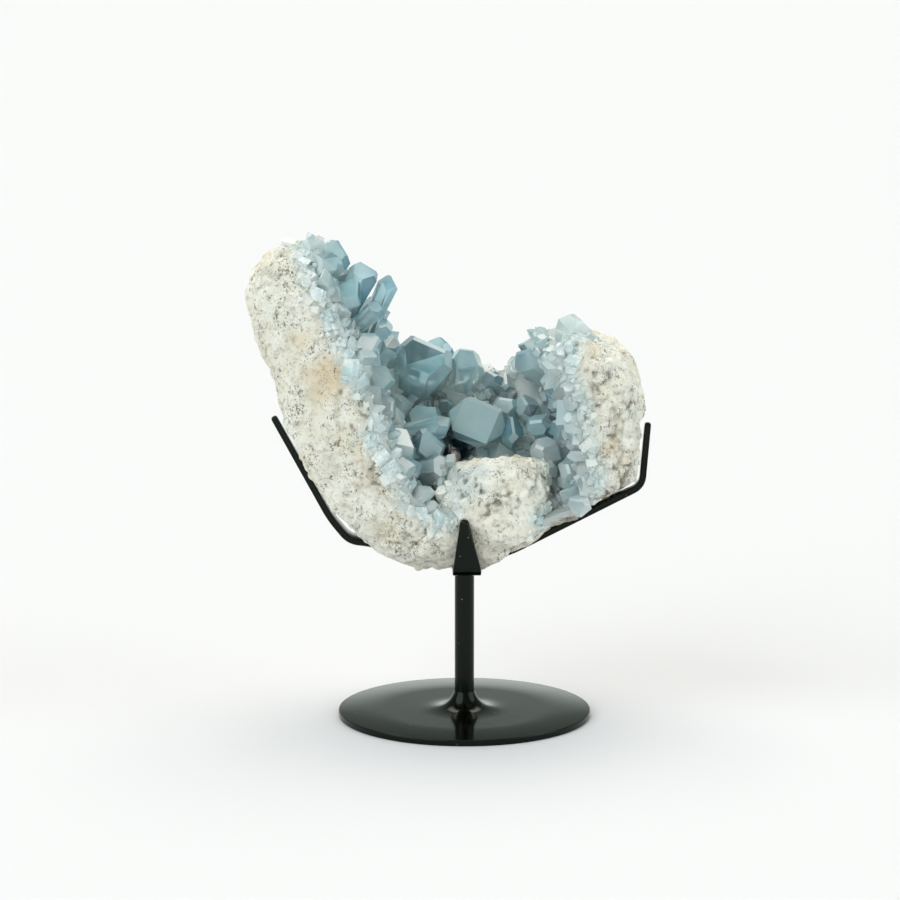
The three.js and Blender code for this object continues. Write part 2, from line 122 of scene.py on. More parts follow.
# %% Camera
camera = bpy.data.objects.new("camera", bpy.data.cameras.new("camera"))
bpy.context.scene.collection.objects.link(camera)
camera.data.lens = 120.59
camera.data.sensor_width = 36
camera.data.clip_end = 200
camera.location = (-0.00725, -1.47936, 0.38303)
camera.rotation_euler = (math.radians(90 - 9.5166), 0, 0)
bpy.context.scene.camera = camera
bpy.context.scene.view_settings.view_transform = "Standard"

# %% Floor
FAR = 60000  # mm, so far that the floor's edge is never seen
floor_mesh = new_mesh("floor", [[-FAR, -FAR, 0], [FAR, -FAR, 0], [FAR, FAR, 0], [-FAR, FAR, 0]], [[0, 1, 2, 3]])
floor = bpy.data.objects.new("floor", floor_mesh)
bpy.context.scene.collection.objects.link(floor)
paper, tree = new_material("matt_white_paper")
paper_shader = add_node(tree, "ShaderNodeBsdfPrincipled",
                        {"Base Color": linear("#D7D9DD"), "Roughness": 0.9, "Specular IOR Level": 0.1})
add_node(tree, "ShaderNodeOutputMaterial", {"Surface": paper_shader.outputs[0]})
floor_mesh.materials.append(paper)

# %% Dome
world = bpy.data.worlds.new("studio_dome")
bpy.context.scene.world = world
world.use_nodes = True
tree = world.node_tree
tree.nodes.clear()
direction = add_node(tree, "ShaderNodeTexCoord").outputs["Generated"]
height = add_node(tree, "ShaderNodeSeparateXYZ", {"Vector": direction}).outputs["Z"]
BACKDROP, CEILING = (1.25, 1.36, 1.28, 1), (0.3, 0.35, 0.31, 1)
# Height is the sine of the angle above the horizon: the backdrop fades out from 9 to 16 degrees up.
climb = add_node(tree, "ShaderNodeMapRange", {0: height, 1: 0.16, 2: 0.27})
sky = add_node(tree, "ShaderNodeMix", {0: climb.outputs[0], 6: BACKDROP, 7: CEILING}, data_type="RGBA")
# Each lit part: the way to it, the cosines at which its edge starts and ends, and its brightness.
LIT = [((0, 0.35, 1), 0.83, 0.91, (3.7, 3.42, 3.12, 1)),
       ((-0.62, -0.55, 0.56), 0.86, 0.92, (2.9, 3.0, 3.1, 1)),
       ((0.9, -0.3, 0.32), 0.88, 0.93, (2.2, 2.4, 2.5, 1))]
for toward, start, end, brightness in LIT:
    toward = np.array(toward) / np.linalg.norm(toward)
    nearness = add_node(tree, "ShaderNodeVectorMath", {0: direction, 1: toward}, operation="DOT_PRODUCT")
    lit = add_node(tree, "ShaderNodeMapRange", {0: nearness.outputs["Value"], 1: start, 2: end},
                   interpolation_type="SMOOTHSTEP")
    sky = add_node(tree, "ShaderNodeMix", {0: lit.outputs[0], 6: sky.outputs[2], 7: brightness},
                   data_type="RGBA")
background = add_node(tree, "ShaderNodeBackground", {"Color": sky.outputs[2], "Strength": 0.92})
add_node(tree, "ShaderNodeOutputWorld", {"Surface": background.outputs[0]})
print("dome with", len(LIT), "lit parts")

# %% [markdown]
# ## The foot plate and the post
# The real foot is a steel disc with a small trumpet-shaped boss, and the post is a plain round rod. Both
# are round about one axis, so each is a lathe: an outline in (radius, height), turned through a circle.
# A grid of outline steps by turn steps keeps the round edges smooth, where the model has 40 flat sides.

# %% Lathe
def turned(outline, steps):
    """point(i, j) = (radius_i cos a_j, radius_i sin a_j, height_i), a_j a share j of the full turn. The ends
    close on the axis in one point each."""
    outline = np.asarray(outline, float)
    turn = 2 * np.pi * np.arange(steps) / steps
    ring = np.stack([np.cos(turn), np.sin(turn), np.zeros(steps)], -1)
    body = outline[1:-1, 0][:, None, None] * ring + outline[1:-1, 1][:, None, None] * np.array([0, 0, 1.0])
    rows, count = len(body), len(body) * steps
    here, after = np.arange(steps), (np.arange(steps) + 1) % steps
    low = np.arange(rows - 1)[:, None] * steps
    sides = np.stack([low + here, low + after, low + steps + after, low + steps + here], -1).reshape(-1, 4)
    first = np.stack([np.full(steps, count), after, here], -1)
    last = np.stack([np.full(steps, count + 1), count - steps + here, count - steps + after], -1)
    ends = [[0, 0, outline[0, 1]], [0, 0, outline[-1, 1]]]
    return np.vstack([body.reshape(-1, 3), ends]), [*sides, *first, *last]


def rounded(centre, radius, start, end, steps=5):
    """Points of an arc round centre, from start to end degrees."""
    angle = np.radians(np.linspace(start, end, steps))
    return (np.asarray(centre) + radius * np.stack([np.cos(angle), np.sin(angle)], -1)).tolist()


# %% Gloss black paint
# Stove enamel on steel: a hard, smooth, almost black coat. The eye sees a dark mirror with a faint orange
# peel, a few dust specks caught in it and hairline scuffs where it was wiped.
enamel, tree = new_material("gloss_black_stove_enamel")
place = add_node(tree, "ShaderNodeTexCoord").outputs["Object"]
peel = add_node(tree, "ShaderNodeTexNoise", {"Vector": place, "Scale": 350, "Detail": 2})  # about 3 mm waves
stretch = add_node(tree, "ShaderNodeMapping",
                   {"Vector": place, "Scale": (60, 900, 900), "Rotation": (0, 0, 0.5)})
wipe = add_node(tree, "ShaderNodeTexNoise", {"Vector": stretch.outputs[0], "Scale": 1, "Detail": 3})
scuff = add_node(tree, "ShaderNodeMapRange", {0: wipe.outputs[0], 1: 0.35, 2: 0.75, 3: 0.08, 4: 0.17})
dust = add_node(tree, "ShaderNodeTexVoronoi", {"Vector": place, "Scale": 330})  # specks 3 mm apart at the least
dot = add_node(tree, "ShaderNodeMapRange", {0: dust.outputs["Distance"], 1: 0.12, 2: 0.06})
grain = add_node(tree, "ShaderNodeTexNoise", {"Vector": place, "Scale": 90})
few = add_node(tree, "ShaderNodeMapRange", {0: grain.outputs[0], 1: 0.6, 2: 0.66})
speck = add_node(tree, "ShaderNodeMath", {0: dot.outputs[0], 1: few.outputs[0]}, operation="MULTIPLY")
coat = add_node(tree, "ShaderNodeMix", {0: speck.outputs[0], 6: linear("#050705"), 7: linear("#8A8E88")},
                data_type="RGBA")
enamel_bump = add_node(tree, "ShaderNodeBump",
                       {"Height": peel.outputs[0], "Strength": 0.2, "Distance": 0.00005})
enamel_shader = add_node(tree, "ShaderNodeBsdfPrincipled",
                         {"Base Color": coat.outputs[2], "Roughness": scuff.outputs[0], "IOR": 1.5,
                          "Metallic": 0.0, "Specular IOR Level": 0.19, "Specular Tint": linear("#EEFFEE"),
                          "Normal": enamel_bump.outputs[0]})
add_node(tree, "ShaderNodeOutputMaterial", {"Surface": enamel_shader.outputs[0]})

# %% Foot plate
PLATE, STEEL, EDGE = 63.5, 3.2, 0.6
POST, FLARE, FLARE_TOP = 4.9, 25.0, 12.2
# The boss falls away like a trumpet: 9 mm e^(-distance / 3.4 mm), eased to nothing where it meets the plate.
reach = np.linspace(1, 0, 40) ** 1.5
away = reach * (FLARE - POST - 0.35)
rise = (FLARE_TOP - STEEL) * np.exp(-away / 3.4) * (1 - reach ** 2)
flare = np.stack([POST + 0.35 + away, STEEL + rise], -1)
plate_outline = [[0, 0], *rounded((PLATE - EDGE, EDGE), EDGE, -90, 0),
                 *rounded((PLATE - EDGE, STEEL - EDGE), EDGE, 0, 90),
                 [40, STEEL], *flare.tolist(), [POST - 0.2, FLARE_TOP], [0, FLARE_TOP]]
plate_mesh = new_mesh("foot_plate", *turned(plate_outline, 160), smooth_below=40)
add_piece(plate_mesh, enamel, "black_paint", "base_plate")

# %% Post
POST_FOOT, POST_TOP = 4.4, 78.1
CHAMFER = 0.3
post_outline = [[0, POST_FOOT], [POST, POST_FOOT], [POST, POST_TOP - CHAMFER], [POST - CHAMFER, POST_TOP],
                [0, POST_TOP]]
add_piece(new_mesh("round_post", *turned(post_outline, 96), smooth_below=40), enamel, "black_paint", "post")

# %% [markdown]
# ## The four bars
# Each bar is flat steel, bent by hand and drawn out to a narrow rounded tip. It is one cross-section
# carried along a path: a rectangle with softened corners, which follows the bent middle line and gets
# narrower. The corners matter, because gloss paint shows a bright line along every softened edge.

# %% Bent path
HUB, BAR_WIDTH, TIP_WIDTH, BEND = 80.0, 14, 3, 5
# Each arm: its heading, the corners of its middle line as (outwards, up), the corner where it starts to
# narrow, its twist in degrees and how far its tip leans sideways.
ARMS = {
    "arm_left": (180, [[0, HUB], [13, HUB], [47, 88.9], [57.5, 90], [67, 101.5], [95, 152]], 3, 0, 0),
    "arm_right": (0, [[0, HUB], [12.5, 81.3], [24, 85.2], [88.4, 117.3], [91.1, 149]], 2, 0, 0),
    "arm_front": (-88.3, [[0, HUB], [36.6, 79.6], [37.7, 106.9]], 1, -25, -1.4),
    "arm_back": (90, [[0, HUB], [14, HUB], [40, 90], [55, 108], [58, 140]], 2, 0, 0),
}


def bent_line(corners):
    """Straight runs joined by curves: between the points 5 mm before and after a corner, the line is
    (1-t)^2 before + 2 t (1-t) corner + t^2 after."""
    corners = np.asarray(corners, float)
    ways = np.diff(corners, axis=0)
    ways /= np.linalg.norm(ways, axis=1)[:, None]
    t = np.linspace(0, 1, 9)[:, None]
    middle = corners[1:-1]
    before, after = middle - BEND * ways[:-1], middle + BEND * ways[1:]
    bends = [(1 - t) ** 2 * b + 2 * t * (1 - t) * c + t ** 2 * a for b, c, a in zip(before, middle, after)]
    return np.vstack([corners[:1], *bends, corners[-1:]])


# %% Bar
def bar(heading, corners, taper_from, twist, lean):
    """point(s, c) = line(s) + normal(s) * through_c + across_c sideways, the section c scaled to the width
    and thickness at s, then the whole bar turned to its heading."""
    line = bent_line(corners)
    run = np.r_[0, np.cumsum(np.linalg.norm(np.diff(line, axis=0), axis=1))]
    tip = run[-1] - np.array([1.5, 1.1, 0.7, 0.35, 0.1, 0])  # the tip is rounded over its last 1.5 mm
    stations = np.sort(np.r_[run[:-1], tip])
    path = np.stack([np.interp(stations, run, line[:, k]) for k in (0, 1)], -1)
    way = np.gradient(path, stations, axis=0)
    way /= np.linalg.norm(way, axis=1)[:, None]
    normal = np.stack([-way[:, 1], way[:, 0]], -1)
    start = np.linalg.norm(np.diff(corners[:taper_from + 1], axis=0), axis=1).sum()
    share = np.clip((stations - start) / (run[-1] - start), 0, 1)
    close = np.clip((run[-1] - stations) / 1.5, 0, 1)
    blunt = 0.3 + 0.7 * np.sqrt(1 - (1 - close) ** 2)
    width, thick = (BAR_WIDTH + (TIP_WIDTH - BAR_WIDTH) * share) * blunt, STEEL * blunt
    soft = 0.5  # radius of the softened edges
    corner = np.radians(np.linspace(0, 90, 4))
    arc = np.stack([np.cos(corner), np.sin(corner)], -1) * soft - soft
    quarter = [arc, arc[::-1] * [-1, 1], arc * [-1, -1], arc[::-1] * [1, -1]]
    signs = np.repeat([[1, 1], [-1, 1], [-1, -1], [1, -1]], 4, axis=0)
    section = signs[None] * np.stack([width, thick], -1)[:, None] / 2
    section = section + np.vstack(quarter)[None] * blunt[:, None, None]
    turn = np.where(stations > start + BEND, np.radians(twist), 0)[:, None]
    across = section[..., 0] * np.cos(turn) - section[..., 1] * np.sin(turn) + lean * share[:, None]
    through = section[..., 0] * np.sin(turn) + section[..., 1] * np.cos(turn)
    out = path[:, None, 0] + normal[:, None, 0] * through
    up = path[:, None, 1] + normal[:, None, 1] * through
    angle = math.radians(heading)
    cos, sin = math.cos(angle), math.sin(angle)
    points = np.stack([out * cos - across * sin, out * sin + across * cos, up], -1)
    rows, around = out.shape
    here, after = np.arange(around), (np.arange(around) + 1) % around
    low = np.arange(rows - 1)[:, None] * around
    sides = np.stack([low + here, low + around + here, low + around + after, low + after], -1)
    return points.reshape(-1, 3), [*sides.reshape(-1, 4), here, (rows - 1) * around + here[::-1]]


arm_points = []
for name, shape in ARMS.items():
    points, faces = bar(*shape)
    arm_points.append(points)
    bar_mesh = new_mesh(name.replace("arm", "bent_bar"), points, faces, smooth_below=50)
    add_piece(bar_mesh, enamel, "black_paint", name)
arm_points = np.vstack(arm_points)

# %% [markdown]
# ## Noise worked out with numpy
# Rock is rough at every size. One pattern gives that: a cloud, which blends random numbers held on the
# corners of a lattice, used at several sizes. It works on all points of a mesh at once.

# %% Cloud
def scrambled(cells, seed):
    """A number from 0 to 1 for each lattice cell: its whole-number place and the seed, multiplied and
    mixed."""
    x, y, z = (cells[..., k].astype(np.uint64) for k in range(3))
    mixed_up = (x * np.uint64(73856093)) ^ (y * np.uint64(19349663)) ^ (z * np.uint64(83492791))
    mixed_up = mixed_up ^ np.uint64(seed * 2654435761)
    for _ in range(2):
        mixed_up = (mixed_up ^ (mixed_up >> np.uint64(15))) * np.uint64(0x2C1B3C6D) & np.uint64(0xFFFFFFFF)
    return (mixed_up ^ (mixed_up >> np.uint64(13))).astype(np.float64) % 65536 / 65535


def cloud(points, size, seed):
    """From -1 to 1: the eight corners' numbers, weighted by a smooth S of how near the point lies to each."""
    place = points / size + 1000
    low = np.floor(place)
    share = place - low
    share = share * share * (3 - 2 * share)
    total = np.zeros(len(points))
    for corner in itertools.product((0, 1), repeat=3):
        weight = np.prod(np.where(corner, share, 1 - share), axis=1)
        total += weight * scrambled((low + corner).astype(np.int64), seed)
    return 2 * total - 1


# %% Distance from many points to many others
def nearest(points, others, block=2000):
    """For each point the distance to the nearest of the others: |a - b|^2 = |a|^2 + |b|^2 - 2 a.b, block by
    block."""
    points, others = points.astype(np.float32), others.astype(np.float32)
    lengths, found = (others ** 2).sum(1), np.empty(len(points), np.float32)
    for start in range(0, len(points), block):
        some = points[start:start + block]
        found[start:start + block] = (lengths - 2 * some @ others.T).min(1) + (some ** 2).sum(1)
    return np.sqrt(np.maximum(found, 0))


def smooth_step(value, start, end):
    """0 up to start, 1 from end on, and 3 t^2 - 2 t^3 between them."""
    t = np.clip((value - start) / (end - start), 0, 1)
    return t * t * (3 - 2 * t)


# %% Points spread over a mesh
def welded_copy(node):
    """A copy of the node's mesh whose loose triangles are joined where their corners meet."""
    shape = bmesh.new()
    shape.from_mesh(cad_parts[node].data)
    bmesh.ops.remove_doubles(shape, verts=shape.verts, dist=1e-6)
    mesh = bpy.data.meshes.new(node + "_welded")
    shape.to_mesh(mesh)
    shape.free()
    return mesh


def mesh_arrays(mesh):
    """Points in mm, triangles, and each triangle's normal and area."""
    points = np.empty(len(mesh.vertices) * 3)
    mesh.vertices.foreach_get("co", points)
    points = points.reshape(-1, 3) / MM
    mesh.calc_loop_triangles()
    triangles = np.empty(len(mesh.loop_triangles) * 3, np.int32)
    mesh.loop_triangles.foreach_get("vertices", triangles)
    triangles = triangles.reshape(-1, 3)
    a, b, c = (points[triangles[:, k]] for k in range(3))
    cross = np.cross(b - a, c - a)
    area = np.linalg.norm(cross, axis=1) / 2
    return points, triangles, cross / np.maximum(2 * area, 1e-12)[:, None], area


def scattered(mesh, count, random):
    """Points spread evenly over a mesh: triangles drawn by their area, then a random place in each. Also the
    normals there."""
    points, triangles, normals, area = mesh_arrays(mesh)
    drawn = random.choice(len(triangles), count, p=area / area.sum())
    u, v = np.sqrt(random.random((count, 1))), random.random((count, 1))
    a, b, c = (points[triangles[drawn, k]] for k in range(3))
    return (1 - u) * a + u * (1 - v) * b + u * v * c, normals[drawn]


crust_mesh, matrix_mesh = welded_copy("crystal_crust"), welded_copy("geode_matrix")
random = np.random.default_rng(5)
crust_samples, _ = scattered(crust_mesh, 9000, random)

# %% [markdown]
# ## The rock
# The rock is chalky and full of small pits, with a brown-grey skin in them. The model's rock has the big
# forms in a few thousand flat faces. A voxel remesh turns them into an even net about a millimetre wide,
# and each point of the net is then moved along its normal: lumps, grains and pits of real sizes.

# %% Even net
NET = 1.2  # mm, the finest that stays under 200,000 triangles

rock_draft = bpy.data.objects.new("rock_draft", matrix_mesh)
bpy.context.scene.collection.objects.link(rock_draft)
remesh = rock_draft.modifiers.new("net", "REMESH")
remesh.mode, remesh.voxel_size = "VOXEL", NET * MM
rock_mesh = bpy.data.meshes.new_from_object(rock_draft.evaluated_get(bpy.context.evaluated_depsgraph_get()))
bpy.data.objects.remove(rock_draft)
rock_mesh.name = "chalky_rock"
rock_points = np.empty(len(rock_mesh.vertices) * 3)
rock_mesh.vertices.foreach_get("co", rock_points)
rock_points = rock_points.reshape(-1, 3) / MM
rock_normals = np.empty(len(rock_mesh.vertices) * 3, np.float32)
rock_mesh.vertices.foreach_get("normal", rock_normals)
rock_normals = rock_normals.reshape(-1, 3)
print("rock net:", len(rock_points), "points,", len(rock_mesh.polygons), "faces")

# %% Lumps, grains and pits
# A pit is wherever a cloud rises above a level, so pits have ragged outlines and come in all sizes. A
# crack runs where another cloud passes through nought.
to_crystals = nearest(rock_points, crust_samples)
to_arms = nearest(rock_points, arm_points[::2])
crowd = cloud(rock_points, 16, 15)
wide_pit = cloud(rock_points, 5.5, 11) + 0.5 * cloud(rock_points, 2.7, 12) + 0.4 * crowd
wide_pit = smooth_step(wide_pit, 0.7, 1.05)
small_pit = smooth_step(cloud(rock_points, 2.6, 13) + 0.4 * crowd, 0.62, 0.9)
crack = np.abs(cloud(rock_points, 8, 70) + 0.3 * cloud(rock_points, 3, 71))
crack = smooth_step(crack, 0.12, 0.02) * smooth_step(crowd, -0.3, 0.3)
lumps = 1.2 * cloud(rock_points, 9, 1) + 0.8 * cloud(rock_points, 4.4, 2) + 0.75 * cloud(rock_points, 2.5, 3)
moved = lumps - 1.8 * wide_pit - 1.1 * small_pit - 1.2 * crack
moved *= smooth_step(to_crystals, 0.8, 3.5)
moved = np.where(to_arms < 5, np.minimum(moved, 0) * smooth_step(to_arms, 1, 5), moved)
rock_points = rock_points + rock_normals * np.clip(moved, -2.8, 1.3)[:, None]


def above_bar(points):
    """How far each place at the lower right lies above a plane laid on the right bar's top face: it climbs
    0.5 mm a millimetre outwards with the bar, and 0.2 mm a millimetre towards the front."""
    x, y, z = points.T
    return z - (90.5 + 0.5 * (x - 24) + 0.2 * (-7 - y))


# The rock's lower edge is broken away there in a ragged line, so that the bar lies bare.
short = np.maximum(1.5 * cloud(rock_points, 3.5, 50) - above_bar(rock_points), 0)
short *= smooth_step(rock_points[:, 0], 34, 44) * (rock_points[:, 1] < -7) * (short < 12)
rock_points[:, 2] += short
rock_mesh.vertices.foreach_set("co", (rock_points * MM).ravel())


def set_measure(mesh, name, values, domain="POINT"):
    """Keeps one number for each point or face under a name that a material can read."""
    mesh.attributes.new(name, "FLOAT", domain).data.foreach_set("value", np.asarray(values, np.float32))


# %% Clefts
# Painted shade for the dark clefts between the crystals, a dark colour on rock and crystals: the middle of
# each, how far it reaches and how dark it is.
CLEFT_SHADE_SPOTS = [((-4, 4, 135), 15, 1.0), ((-7, -7, 134), 13, 1.0), ((-11, 14, 143), 10, 0.8),
          ((-17, -26, 115), 10, 0.9), ((43, 4, 150), 5, 0.8), ((34, 11, 155), 5, 0.7),
          ((-43.5, -12, 200), 5, 0.8), ((-24, 13, 183), 8, 0.6), ((-15, 22, 157), 12, 0.55),
          ((-11, -12, 153), 8, 0.5), ((-36, -6, 187), 6, 0.55), ((18, 32, 157), 8, 0.4)]


def cleft_shade_at(points):
    """How much painted cleft shade each place gets: the strength of the nearest one, fading out towards its
    reach.
    """
    deep = np.zeros(len(points))
    for middle, reach, strength in CLEFT_SHADE_SPOTS:
        away = np.linalg.norm(points - middle, axis=1) + 2 * cloud(points, 5, 60)
        deep = np.maximum(deep, strength * smooth_step(away, reach, reach * 0.4))
    return deep


# %% Stains
# Each stain: its middle, how far it reaches and how strong it is.
STAINS = [((-66, -40, 178), 14, 1.0), ((-79, -38, 196), 7, 0.5), ((65, -36, 158), 7, 0.8),
          ((71, -36, 142), 7, 0.6),
          ((60, -30, 190), 6, 0.5), ((-50, -44, 128), 8, 0.3)]
stained = np.zeros(len(rock_points))
for middle, reach, strength in STAINS:
    away = np.linalg.norm(rock_points - middle, axis=1) + 4 * cloud(rock_points, 6, 9)
    stained += strength * smooth_step(away, reach, reach * 0.3)
# A darker colour lies in the pits and cracks, and a little of it between the lumps: dirt in the pits, and
# painted shade in all these hollows.
between_lumps = smooth_step(-lumps, 0.4, 1.6)
dirt_and_shade = 0.9 * wide_pit + 0.7 * small_pit + 0.4 * crack + 0.4 * between_lumps
set_measure(rock_mesh, "pit_dirt_and_shade", np.clip(dirt_and_shade, 0, 1))
# Fine celestite fills the rock's pores beside the crystals and over the upper left of the knob.
knob_soaked = np.linalg.norm(rock_points - [-6, -40, 130], axis=1) + 6 * cloud(rock_points, 5, 16)
knob_soaked = smooth_step(knob_soaked, 24, 8)
beside = smooth_step(to_crystals + 3 * cloud(rock_points, 5, 14), 10, 1.5)
set_measure(rock_mesh, "blue_near_crystals", np.maximum(beside, knob_soaked))
set_measure(rock_mesh, "iron_stain", np.clip(stained, 0, 1))
# The clefts' painted shade on the rock.
set_measure(rock_mesh, "painted_cleft_shade", cleft_shade_at(rock_points))
# The faces that look down at the lower right get a darker colour: painted shade on the underside, with layered
# bumps in it.
shaded_underside = smooth_step(rock_points[:, 0], 38, 52) * smooth_step(-rock_normals[:, 2], 0.3, 0.6)
set_measure(rock_mesh, "shaded_layered_underside", shaded_underside * smooth_step(rock_points[:, 2], 126, 118))
rock_mesh.polygons.foreach_set("use_smooth", np.ones(len(rock_mesh.polygons), bool))

# %% Rock material
# Chalky limestone with clay: dry, matt and crumbly. The eye sees no gloss at all, a white that wanders to
# cream and grey over a centimetre, and dark grains and pits 1 to 3 mm wide.
chalk, tree = new_material("chalky_rock_broken")
place = add_node(tree, "ShaderNodeTexCoord").outputs["Object"]
measure = {name: add_node(tree, "ShaderNodeAttribute", attribute_name=name).outputs["Fac"]
           for name in ("pit_dirt_and_shade", "blue_near_crystals", "iron_stain", "shaded_layered_underside", "painted_cleft_shade")}
broad = add_node(tree, "ShaderNodeTexNoise", {"Vector": place, "Scale": 75, "Detail": 4}).outputs[0]  # 13 mm
# Grain about 3 mm wide, then fine grain about 1 mm wide.
blotch = add_node(tree, "ShaderNodeTexNoise",
                  {"Vector": place, "Scale": 330, "Detail": 6, "Roughness": 0.72}).outputs[0]
fine = add_node(tree, "ShaderNodeTexNoise",
                {"Vector": place, "Scale": 900, "Detail": 4, "Roughness": 0.75}).outputs[0]
drawn = add_node(tree, "ShaderNodeMapping",
                 {"Vector": place, "Scale": (480, 480, 260), "Rotation": (0.2, 0.3, 0)})
streak = add_node(tree, "ShaderNodeTexNoise",
                  {"Vector": drawn.outputs[0], "Scale": 1, "Detail": 4, "Roughness": 0.65}).outputs[0]
beds = add_node(tree, "ShaderNodeMapping",
                {"Vector": place, "Scale": (60, 60, 500), "Rotation": (0, 0.45, 0)})
layer = add_node(tree, "ShaderNodeTexNoise", {"Vector": beds.outputs[0], "Scale": 1, "Detail": 3}).outputs[0]
# Dark grains lie in clusters: the fine grain counts only where a wider cloud is high.
zone = add_node(tree, "ShaderNodeTexNoise", {"Vector": place, "Scale": 110, "Detail": 3}).outputs[0]
zone = add_node(tree, "ShaderNodeMapRange", {0: zone, 1: 0.42, 2: 0.62, 3: -0.07, 4: 0.02}).outputs[0]
fine = add_node(tree, "ShaderNodeMath", {0: fine, 1: zone}).outputs[0]
streak = add_node(tree, "ShaderNodeMath", {0: streak, 1: zone}).outputs[0]
# Each coat: what decides where it lies, from and to which value it comes in, how strongly, and its colour.
# The cleft coat is painted shade. The pit coat is dirt and painted shade, and the underside coat is painted
# shade.
COATS = [(broad, 0.42, 0.7, 0.8, "#F5EDD6"), (blotch, 0.5, 0.62, 0.62, "#C6BEA6"),
         (measure["iron_stain"], 0, 1, 0.6, "#E8CB9C"), (measure["blue_near_crystals"], 0, 1, 0.7, "#D3E4E5"),
         (measure["shaded_layered_underside"], 0, 1, 0.5, "#A8A08E"), (streak, 0.57, 0.65, 0.85, "#7C7464"),
         (fine, 0.56, 0.63, 0.9, "#5A544A"), (measure["pit_dirt_and_shade"], 0.25, 0.9, 0.65, "#7A7466"),
         (measure["painted_cleft_shade"], 0, 1, 1, "#14303C")]
colour = linear("#FFFFF4")
for decides, start, end, strength, code in COATS:
    share = add_node(tree, "ShaderNodeMapRange", {0: decides, 1: start, 2: end, 3: 0, 4: strength})
    colour = add_node(tree, "ShaderNodeMix", {0: share.outputs[0], 6: colour, 7: linear(code)},
                      data_type="RGBA").outputs[2]
bedded = add_node(tree, "ShaderNodeMath", {0: layer, 1: measure["shaded_layered_underside"]}, operation="MULTIPLY")
relief = add_node(tree, "ShaderNodeMath", {0: fine, 1: 0.5, 2: blotch}, operation="MULTIPLY_ADD")
relief = add_node(tree, "ShaderNodeMath", {0: bedded.outputs[0], 1: 2.0, 2: relief.outputs[0]},
                  operation="MULTIPLY_ADD")
chalk_bump = add_node(tree, "ShaderNodeBump",
                      {"Height": relief.outputs[0], "Strength": 1.0, "Distance": 0.002})
chalk_shader = add_node(tree, "ShaderNodeBsdfPrincipled",
                        {"Base Color": colour, "Roughness": 0.95, "Specular IOR Level": 0.2,
                         "Normal": chalk_bump.outputs[0]})
add_node(tree, "ShaderNodeOutputMaterial", {"Surface": chalk_shader.outputs[0]})
add_piece(rock_mesh, chalk, "chalky_rock", "geode_matrix")

# %% [markdown]
# ## The crystals
# Celestite grows as blocky prisms closed by a gable of sloping faces. A crystal is what is left inside a
# set of flat faces, so its corners are found where three faces meet: a small linear system for each trio,
# all solved at once. A handful of such crystals is copied, turned and stretched by the hundred to fill the
# bare wall between the large crystals of the model, and all of them are grown together into one body.

# %% One crystal
def crystal(sides, gable, ends, flat, skew, random):
    """One unit wide and one high, standing on z = 0: sides are the turns of its prism faces, gable and ends
    the tilts of its roof faces, flat cuts its tip, and skew moves each face in or out by that share."""
    vary = lambda: 1 + skew * random.uniform(-1, 1)
    normals, reach = [[0, 0, -1], [0, 0, 1]], [0.0, 1 - flat]
    for turn in np.radians(sides):
        side = np.array([math.cos(turn), math.sin(turn), -0.08])
        normals.append(side / np.linalg.norm(side))
        reach.append(0.42 * vary())
    for tilt, turns, ridge in ((gable, (0, 180), 0.0), (ends, (90, 270), 0.2)):
        for turn in np.radians(turns) if tilt else ():
            lean = math.radians(tilt * vary())
            normals.append([math.sin(lean) * math.cos(turn), math.sin(lean) * math.sin(turn), math.cos(lean)])
            reach.append(math.cos(lean) + ridge * vary() * math.sin(lean))
    normals, reach = np.array(normals), np.array(reach)
    trios = np.array(list(itertools.combinations(range(len(normals)), 3)))
    trios = trios[np.abs(np.linalg.det(normals[trios])) > 1e-4]
    corners = np.linalg.solve(normals[trios], reach[trios][..., None])[..., 0]
    corners = corners[(corners @ normals.T <= reach + 1e-6).all(1)]
    corners = np.unique(corners.round(5), axis=0)
    shape = bmesh.new()
    for corner in corners:
        shape.verts.new(corner)
    bmesh.ops.convex_hull(shape, input=shape.verts)
    bmesh.ops.recalc_face_normals(shape, faces=shape.faces)
    shape.verts.index_update()
    points = np.array([v.co[:] for v in shape.verts])
    triangles = np.array([[v.index for v in face.verts] for face in shape.faces])
    shape.free()
    return points, triangles


random = np.random.default_rng(8)
SHAPES = [crystal((0, 52, 128, 180, 232, 308), 42, 55, 0.05, 0.16, random) for _ in range(5)]
SHAPES += [crystal((0, 78, 180, 258), 38, 0, 0.04, 0.18, random) for _ in range(4)]
print("crystal shapes, triangles:", [len(triangles) for _, triangles in SHAPES])

# %% Many crystals at once
def grown_copies(shape, feet, ups, turns, widths, heights):
    """point = foot + x width side + y width front + z height up, for every crystal and every corner of the
    shape, side and front being turned about up."""
    points, triangles = shape
    aside = np.cross(ups, np.where(np.abs(ups[:, 2:]) < 0.9, [0, 0, 1.0], [1.0, 0, 0]))
    aside /= np.linalg.norm(aside, axis=1)[:, None]
    front = np.cross(ups, aside)
    cos, sin = np.cos(turns)[:, None], np.sin(turns)[:, None]
    side, front = cos * aside + sin * front, cos * front - sin * aside
    x, y, z = (points[None, :, k, None] for k in range(3))
    places = feet[:, None] + widths[:, None, None] * (x * side[:, None] + y * front[:, None])
    places = places + heights[:, None, None] * z * ups[:, None]
    numbers = triangles[None] + len(points) * np.arange(len(feet))[:, None, None]
    return places.reshape(-1, 3), numbers.reshape(-1, 3)


def kept_apart(middles, reaches):
    """Sorts crystals into groups whose members don't touch: each goes into the first group with none of its
    neighbours."""
    distance = np.linalg.norm(middles[:, None] - middles[None], axis=2)
    touching = distance < reaches[:, None] + reaches[None]
    groups = np.full(len(middles), -1)
    for k in range(len(middles)):
        taken = set(groups[touching[k]])
        groups[k] = next(g for g in itertools.count() if g not in taken)
    return groups


